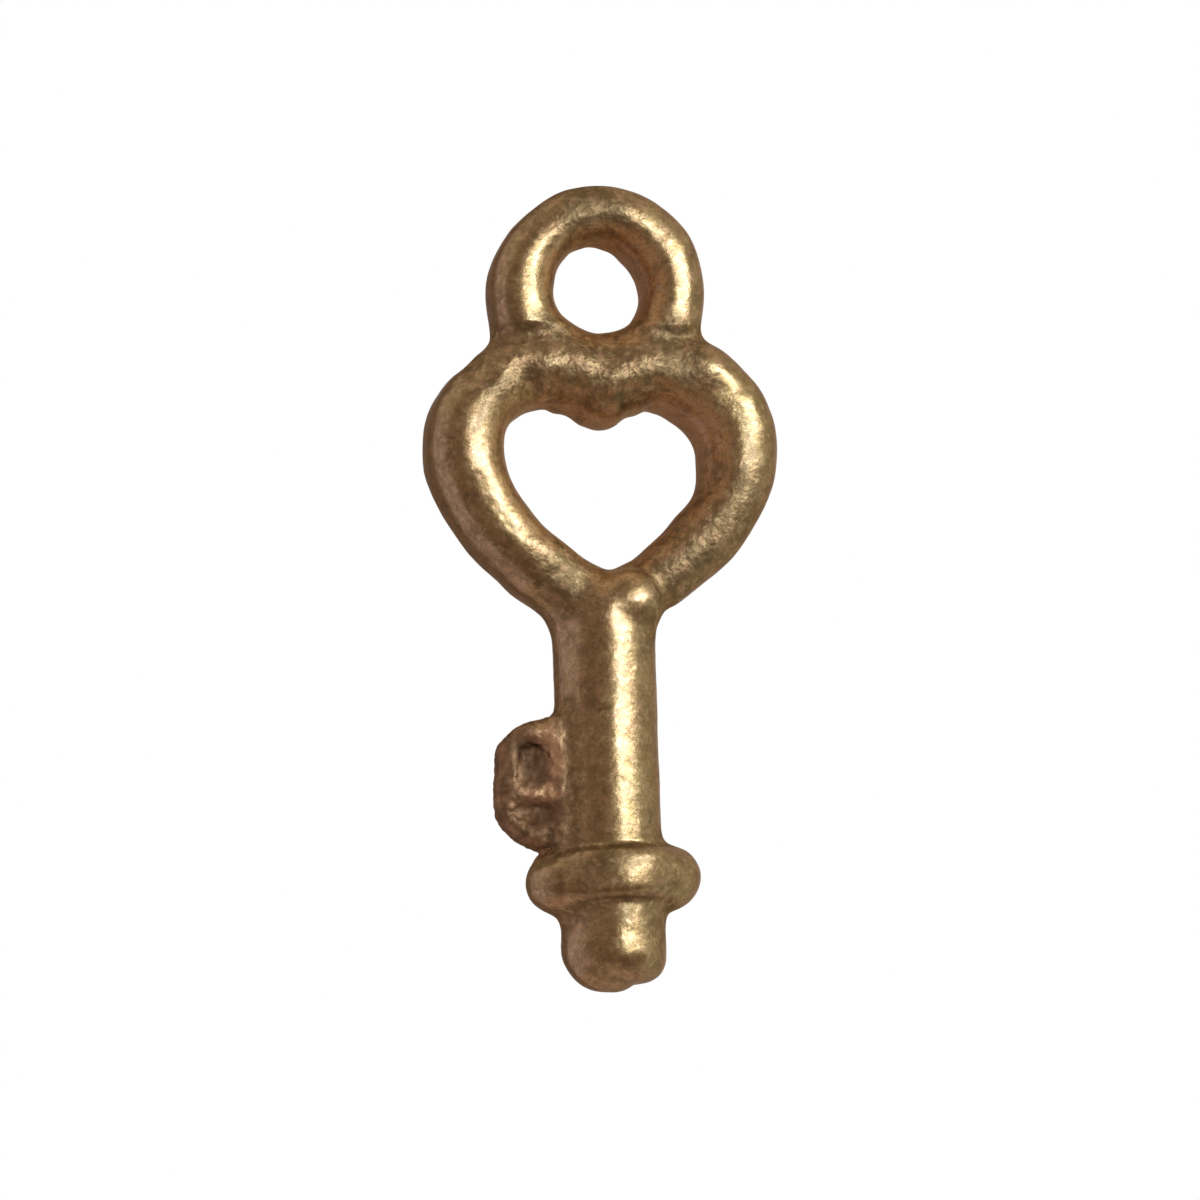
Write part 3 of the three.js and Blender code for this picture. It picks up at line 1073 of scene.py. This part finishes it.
print("the gold of the heart and the brown of the bit are ready to mix")

# %% Make the metal and grow the casting
TARNISH_SHARE = 0.92
BOUNCE_WALL_SHARE = 0.95
SATIN_ROUGHNESS = 0.33
SKIN_ROUGHER = 0.05
BLOTCH_ROUGHER = 0.14
VALLEY_ROUGHER = 0.20
WALL_ROUGHER = 0.20
BIT_ROUGHER = 0.26
RUBBED_SMOOTHER = 0.14
GRAIN_DEPTH = 0.008 * MM
SKIN_GRAIN = 3.2
BIT_GRAIN = 2.0
COAT_SHARE = 0.25
COAT_ROUGHNESS = 0.17


def antique_gold():
    """The one material of the charm."""
    material = bpy.data.materials.new("antique_gold")
    bench = clean_bench(material)
    place = bench.add("ShaderNodeTexCoord", None, None, "Object").scaled(1 / MM)
    layer = {
        name: bench.add("ShaderNodeAttribute", {"attribute_name": name}, None, "Fac")
        for name in LAYERS
    }
    pattern = {name: noise(bench, place, *grains) for name, grains in PATTERNS.items()}
    skin, tarnish, walls = layer["cast_skin"], layer["tarnish"], layer["inner_wall"]

    # Deep crevices and the inner walls get painted bounce light.
    painted_bounce = layer["shelter"].share(0.10, 0.75).at_least(walls * BOUNCE_WALL_SHARE)
    # Shallow creases and the darker patches get toning and painted shade.
    valley = layer["shelter"].share(0.03, 0.16) * (1 - walls) * (1 - tarnish)
    valley = valley.at_least(layer["toning_and_shade"])
    satin = satin_colour(bench, pattern, layer, painted_bounce, valley)
    colour = colour_mix(bench, tarnish * TARNISH_SHARE, satin, bit_colour(bench, pattern, layer))

    rougher = (SKIN_ROUGHER + pattern["blotch"].share(0.40, 0.60) * BLOTCH_ROUGHER) * skin
    dull = tarnish * (BIT_ROUGHER - layer["rubbed_and_lit"] * RUBBED_SMOOTHER)
    dull = dull.at_least(walls * WALL_ROUGHER)
    rougher = rougher.at_least(valley * VALLEY_ROUGHER).at_least(dull)
    height = pattern["grain"] * 0.9 + pattern["fine"] * 0.1
    height = height * (1 + skin * SKIN_GRAIN + tarnish * BIT_GRAIN)
    grain = {"Height": height, "Strength": 1.0, "Distance": GRAIN_DEPTH}
    shader = bench.add(
        "ShaderNodeBsdfPrincipled",
        None,
        {
            "Base Color": colour,
            "Metallic": 1.0,
            "Roughness": SATIN_ROUGHNESS + rougher,
            "Normal": bench.add("ShaderNodeBump", None, grain),
            "Specular Tint": EDGE_TINT,
            "Coat Weight": (1 - skin) * (1 - valley) * (1 - tarnish) * COAT_SHARE,
            "Coat Roughness": COAT_ROUGHNESS,
        },
    )
    bench.add("ShaderNodeOutputMaterial", None, {"Surface": shader})
    return material


metal = antique_gold()
casting = grown(heart_line, casting_tree(metal), SIZES, "casting")
bpy.data.objects.remove(heart_line)
print(f"the casting has {len(casting.vertices)} points and {len(casting.polygons)} faces")

# %% [markdown]
# ## Parting the casting at the seams
#
# The frame names six regions, so the skin is parted in the same planes, each with a closed flat
# face. Bisecting the mesh would leave open rims, so a Boolean modifier keeps what lies in a
# region's block of space and closes the cut. The normals of the whole casting are put back
# afterwards, and the points along a cut get its values again, so that the seams don't show.

# %% Cut one region out of the casting
past = 2 * (loop_high.z - tip_low.z) * MM


def block_object(name, low, high):
    """A plain block to cut with."""
    corners = list(itertools.product(*zip(low, high)))
    faces = [(0, 1, 3, 2), (4, 6, 7, 5), (0, 4, 5, 1), (2, 3, 7, 6), (0, 2, 6, 4), (1, 5, 7, 3)]
    block = mesh_object(name, corners, [], faces)
    block.data.materials.append(metal)
    return block


def region(name, cuts):
    """A piece of the casting, cut by each block in turn."""
    thing = bpy.data.objects.new(name, casting.copy())
    bpy.context.scene.collection.objects.link(thing)
    blocks = []
    for operation, low, high in cuts:
        blocks.append(block_object("block", low, high))
        modifier = thing.modifiers.new("cut", "BOOLEAN")
        modifier.solver = "MANIFOLD"
        modifier.operation = operation
        modifier.object = blocks[-1]
    ready = thing.evaluated_get(bpy.context.evaluated_depsgraph_get())
    mesh = bpy.data.meshes.new_from_object(ready)
    thing.modifiers.clear()
    thing.data = mesh
    mesh.name = name
    for block in blocks:
        bpy.data.objects.remove(block)
    return thing


def slab(low_z, high_z):
    """A block as wide as needed between two heights, in millimetres."""
    return (-past, -past, low_z * MM), (past, past, high_z * MM)


bit_block = ((-past, -past, bit_low.z * MM), (bit_high.x * MM, past, bit_high.z * MM))
CUTS = {
    "hanging_loop": [("INTERSECT", *slab(loop_low.z, past / MM))],
    "heart_bow": [("INTERSECT", *slab(shank_high.z, loop_low.z))],
    "shank": [("INTERSECT", *slab(collar_high.z, shank_high.z)), ("DIFFERENCE", *bit_block)],
    "key_bit": [("INTERSECT", *bit_block)],
    "collar_ring": [("INTERSECT", *slab(collar_low.z, collar_high.z))],
    "end_tip": [("INTERSECT", *slab(-past / MM, collar_low.z))],
}
print(f"{len(CUTS)} regions are cut out with {sum(len(cuts) for cuts in CUTS.values())} blocks")

# %% Hide the seams and hand over the pieces
SEAM_TOLERANCE = 0.001 * MM
SEAM_FLATNESS = 0.999
face_corners = [tuple(face.vertices) for face in casting.polygons]
whole_skin = BVHTree.FromPolygons([point.co for point in casting.vertices], face_corners)


def column(items, name, kind=np.float32, width=1):
    """One property of every item as an array, with a row for each item if it is a vector."""
    values = np.empty(width * len(items), kind)
    items.foreach_get(name, values)
    return values if width == 1 else values.reshape(-1, width)


def near_planes(places, planes):
    """Which places lie on one of the planes."""
    found = np.zeros(len(places), bool)
    for axis, height in planes:
        found |= abs(places[:, axis] - height) < SEAM_TOLERANCE
    return found


def mend_cut_edges(mesh, planes):
    """Gives the points along a cut the values that the whole casting has there."""
    places = column(mesh.vertices, "co", width=3)
    for point in np.flatnonzero(near_planes(places, planes)).tolist():
        place, _, face, _ = whole_skin.find_nearest(mesh.vertices[point].co)
        corners = casting.polygons[face].vertices
        shares = poly_3d_calc([casting.vertices[corner].co for corner in corners], place)
        for name in ("skin_normal", *LAYERS):
            field = "vector" if name == "skin_normal" else "value"
            kept = casting.attributes[name].data
            around = [np.array(getattr(kept[corner], field)) for corner in corners]
            blend = sum(share * value for share, value in zip(shares, around))
            setattr(mesh.attributes[name].data[point], field, blend.tolist())


def restore_normals(mesh, planes):
    """The whole casting's normals on the skin, and flat ones on the seams."""
    kept = column(mesh.attributes["skin_normal"].data, "vector", width=3)
    corners = column(mesh.loops, "vertex_index", np.int32)
    flat = column(mesh.polygons, "normal", width=3)
    sides = column(mesh.polygons, "loop_total", np.int32)
    centres = column(mesh.polygons, "center", width=3)
    along_axis = abs(flat).max(1) > SEAM_FLATNESS
    seam_corners = np.repeat(near_planes(centres, planes) & along_axis, sides)
    face_normals = np.repeat(flat, sides, axis=0)
    normals = np.where(seam_corners[:, None], face_normals, kept[corners])
    mesh.normals_split_custom_set(normals.tolist())
    return int(seam_corners.sum())


for node, cuts in CUTS.items():
    piece = region("cast_" + node, cuts)
    planes = [(axis, corner[axis]) for _, *block in cuts for corner in block for axis in range(3)]
    mend_cut_edges(piece.data, planes)
    seam_corners = restore_normals(piece.data, planes)
    for spare in ("rest_place", "skin_normal"):
        piece.data.attributes.remove(piece.data.attributes[spare])
    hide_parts(node)
    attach(piece, "root")
    print(f"{piece.name}: {len(piece.data.polygons)} faces, {seam_corners} corners on seams")

# %% [markdown]
# ## The studio
#
# Polished metal shows its surroundings, so the surroundings are part of the likeness. The
# photograph has white paper behind and around the charm, a soft lamp to the right of the
# camera and a little above it, and a darker room on the camera's side. A small cast part held
# at this distance needs a long lens, and the camera looks from a little left and below.

# %% Set the camera
VIEW_TURN = math.radians(-13.5)
VIEW_RISE = math.radians(-9.3)
VIEW_ROLL = math.radians(1.65)
CAMERA_DISTANCE = 120 * MM
FRAME_WIDTH = 26.556 * MM
SENSOR_WIDTH = 36.0
NEAREST_SEEN = 0.002
FARTHEST_SEEN = 10.0
AIM = Vector((0.0, 0.0, -6.6)) * MM
AIM_ASIDE = -0.0907 * MM
AIM_DOWN = 0.294 * MM


def towards(turn, rise):
    """The direction from the charm to a place in the room."""
    return Vector((
        math.sin(turn) * math.cos(rise),
        -math.cos(turn) * math.cos(rise),
        math.sin(rise),
    ))


back = towards(VIEW_TURN, VIEW_RISE)
level = Vector((math.cos(VIEW_TURN), math.sin(VIEW_TURN), 0.0))
upright = back.cross(level)
right = math.cos(VIEW_ROLL) * level - math.sin(VIEW_ROLL) * upright
up = math.sin(VIEW_ROLL) * level + math.cos(VIEW_ROLL) * upright

lens = bpy.data.cameras.new("camera")
lens.sensor_width = SENSOR_WIDTH
lens.lens = SENSOR_WIDTH * CAMERA_DISTANCE / FRAME_WIDTH
lens.clip_start = NEAREST_SEEN
lens.clip_end = FARTHEST_SEEN
camera = bpy.data.objects.new("camera", lens)
bpy.context.scene.collection.objects.link(camera)
spot = AIM + AIM_ASIDE * right - AIM_DOWN * up + CAMERA_DISTANCE * back
camera.matrix_world = Matrix((
    (right.x, up.x, back.x, spot.x),
    (right.y, up.y, back.y, spot.y),
    (right.z, up.z, back.z, spot.z),
    (0.0, 0.0, 0.0, 1.0),
))
bpy.context.scene.camera = camera
print(f"camera with a {lens.lens:.0f} mm lens, {CAMERA_DISTANCE / MM:.0f} mm away")

# %% [markdown]
# ## The lamp
#
# The highlights on the upright limbs are wide and those on the level ones are thin. So the lamp
# in the photograph is a wide and low one, tilted a little. A strip box to the right of the
# camera gives the same. Its light is slightly cool, because the warm metal turns it golden.

# %% Light the charm
LAMP_TURN = math.radians(27.0)
LAMP_RISE = math.radians(12.0)
LAMP_TILT = math.radians(15.0)
LAMP_DISTANCE = 200 * MM
LAMP_SIZE = (150 * MM, 30 * MM)
LAMP_POWER = 0.32
LAMP_COLOUR = (0.88, 1.02, 1.12)


def hang_strip_lamp():
    """A soft strip box that looks at the middle of the charm."""
    light = bpy.data.lights.new("strip_lamp", "AREA")
    light.shape = "RECTANGLE"
    light.size, light.size_y = LAMP_SIZE
    light.energy = LAMP_POWER
    light.color = LAMP_COLOUR
    thing = bpy.data.objects.new("strip_lamp", light)
    away = towards(LAMP_TURN, LAMP_RISE)
    thing.matrix_world = (
        Matrix.Translation(AIM + LAMP_DISTANCE * away)
        @ away.to_track_quat("Z", "Y").to_matrix().to_4x4()
        @ Matrix.Rotation(LAMP_TILT, 4, "Z")
    )
    bpy.context.scene.collection.objects.link(thing)


hang_strip_lamp()
print(f"a lamp of {LAMP_SIZE[0] / MM:.0f} by {LAMP_SIZE[1] / MM:.0f} mm hangs on the right")

# %% [markdown]
# ## White paper and felt cards
#
# The world is plain white paper for the camera, and tinted paper for reflections. A mirror-like
# thing in an all-white room has no shape, so a photographer hangs dim felt cards where the
# camera can't see them. Here each card glows with its own dim light, in place of felt lit by
# the room, and only reflections see it. One hangs round the camera and darkens the faces that
# look at it. The second, a ring behind the charm with a hole about as wide as the picture, draws
# its edges. The third lies below, where a table would be, and gives the undersides a warm tone.

# %% Hang the cards
CARD_SIDES = 96
FELT_SCALE = 12.0
FELT_FADE = (-0.05, 0.20)
ROOM_CARD = (250 * MM, 0.0, math.radians(61.0))
ROOM_FELT = ((0.36, 0.27, 0.21), (0.50, 0.40, 0.34))
EDGE_CARD = (250 * MM, math.radians(9.0), math.radians(58.0))
EDGE_FELT = ((0.74, 0.64, 0.58), (0.30, 0.22, 0.18))
WOOD_CARD = (150 * MM, 0.0, math.radians(40.0))
WOOD_LEAN = math.radians(14.0)
WOOD_FELT = ((0.80, 0.70, 0.68), (0.86, 0.68, 0.62))


def glowing_felt_material(name, fading_way, far_colour, near_colour):
    """Glowing felt that fades from one colour to another across the room."""
    material = bpy.data.materials.new(name)
    bench = clean_bench(material)
    place = bench.add("ShaderNodeTexCoord", None, None, "Object")
    values = {"Vector": place, "Scale": FELT_SCALE, "Detail": 2.0}
    fibres = bench.add("ShaderNodeTexNoise", None, values)
    aside = place.vector("DOT_PRODUCT", place, tuple(fading_way)).other("Value") + fibres * 0.1
    shade = colour_mix(bench, aside.share(*FELT_FADE), (*near_colour, 1.0), (*far_colour, 1.0))
    # The felt glows by emission, in place of light falling on it.
    shader = bench.add("ShaderNodeEmission", None, {"Color": shade, "Strength": 1.0})
    bench.add("ShaderNodeOutputMaterial", None, {"Surface": shader})
    return material


def felt_card(name, way, distance, hole, edge, fading_way, felt):
    """A round card that faces the charm. Its hole and edge are angles from its middle."""
    turn = way.to_track_quat("Z", "Y").to_matrix()
    places = []
    faces = []
    for step in range(CARD_SIDES):
        angle = 2 * math.pi * step / CARD_SIDES
        spoke = turn @ Vector((math.cos(angle), math.sin(angle), 0.0))
        for reach in (hole, edge):
            places.append(tuple(AIM + distance * (way + math.tan(reach) * spoke)))
        ahead = (step + 1) % CARD_SIDES
        faces.append((2 * step, 2 * ahead, 2 * ahead + 1, 2 * step + 1))
    card = mesh_object(name, places, [], faces)
    card.data.materials.append(glowing_felt_material(name, fading_way, *felt))
    card.visible_camera = False
    card.visible_diffuse = False
    card.visible_shadow = False
    card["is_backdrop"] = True


below = Vector((0.0, math.sin(WOOD_LEAN), -math.cos(WOOD_LEAN)))
felt_card("room_card", back, *ROOM_CARD, 0.5 * right - 0.87 * up, ROOM_FELT)
felt_card("edge_card", -back, *EDGE_CARD, right, EDGE_FELT)
felt_card("wood_card", below, *WOOD_CARD, right, WOOD_FELT)
print("three felt cards hang round the charm")

# %% Hang the paper
PAPER_LEFT = (0.90, 0.80, 0.92, 1)
PAPER_RIGHT = (0.84, 0.86, 0.74, 1)
PAPER_ABOVE = (1.0, 0.92, 0.80, 1)
PAPER_LIGHT = (0.85, 0.85, 0.85, 1)
PAPER_SEEN = (1.0, 1.0, 1.0, 1)


def paper_world():
    """Paper that is white to the camera, pale grey as a light, and tinted in reflections."""
    world = bpy.data.worlds.new("paper")
    bench = clean_bench(world)
    way = bench.add("ShaderNodeTexCoord", None, None, "Generated")
    aside = way.vector("DOT_PRODUCT", way, tuple(right)).other("Value")
    above = way.vector("DOT_PRODUCT", way, tuple(up)).other("Value")
    sides = colour_mix(bench, aside.share(-0.5, 0.5), PAPER_LEFT, PAPER_RIGHT)
    around = colour_mix(bench, above.share(0.25, 0.85), sides, PAPER_ABOVE)
    ray = bench.add("ShaderNodeLightPath", None, None, "Is Camera Ray")
    mirrored = (ray.other("Is Glossy Ray") + ray.other("Is Transmission Ray")).at_most(1.0)
    plain = colour_mix(bench, ray, PAPER_LIGHT, PAPER_SEEN)
    colour = colour_mix(bench, mirrored, plain, around)
    shade = bench.add("ShaderNodeBackground", None, {"Color": colour, "Strength": 1.0})
    bench.add("ShaderNodeOutputWorld", None, {"Surface": shade})
    return world


bpy.context.scene.world = paper_world()
print("the paper is hung")

# %% [markdown]
# ## The floor
#
# The charm hangs, so the floor lies well below it and out of the photograph's view. It is left
# out of the reflections, where the warm card has its place, and shows when the view is from above.

# %% Lay the floor
FLOOR_HEIGHT = -45 * MM
FLOOR_HALF = 400 * MM
FLOOR_SCALE = 30.0
FLOOR_COLOURS = ((0.90, 0.90, 0.89, 1), (0.93, 0.93, 0.92, 1))
FLOOR_ROUGHNESS = 0.8


def floor_material():
    """Pale paper with a faint mottle."""
    material = bpy.data.materials.new("pale_floor")
    bench = clean_bench(material)
    place = bench.add("ShaderNodeTexCoord", None, None, "Object")
    values = {"Vector": place, "Scale": FLOOR_SCALE, "Detail": 2.0}
    mottle = bench.add("ShaderNodeTexNoise", None, values)
    colour = colour_mix(bench, mottle, *FLOOR_COLOURS)
    values = {"Base Color": colour, "Roughness": FLOOR_ROUGHNESS}
    shader = bench.add("ShaderNodeBsdfPrincipled", None, values)
    bench.add("ShaderNodeOutputMaterial", None, {"Surface": shader})
    return material


def lay_floor():
    """A wide level sheet below the charm."""
    signs = ((-1, -1), (1, -1), (1, 1), (-1, 1))
    corners = [(x * FLOOR_HALF, y * FLOOR_HALF, FLOOR_HEIGHT) for x, y in signs]
    floor = mesh_object("floor", corners, [], [(0, 1, 2, 3)])
    floor.data.materials.append(floor_material())
    floor.visible_glossy = False
    floor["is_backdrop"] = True


lay_floor()
bpy.context.scene.view_settings.view_transform = "Standard"
print(f"the floor lies {-FLOOR_HEIGHT / MM:.0f} mm below the eye of the loop")

# %% Print the two boxes and finish
visual_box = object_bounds()
boxes = {"cad": [list(corner) for corner in cad_box], "visual": [list(corner) for corner in visual_box]}
print("frame box and visual box in mm:")
for label, corners in boxes.items():
    print("  ", label, [[round(value / MM, 3) for value in corner] for corner in corners])
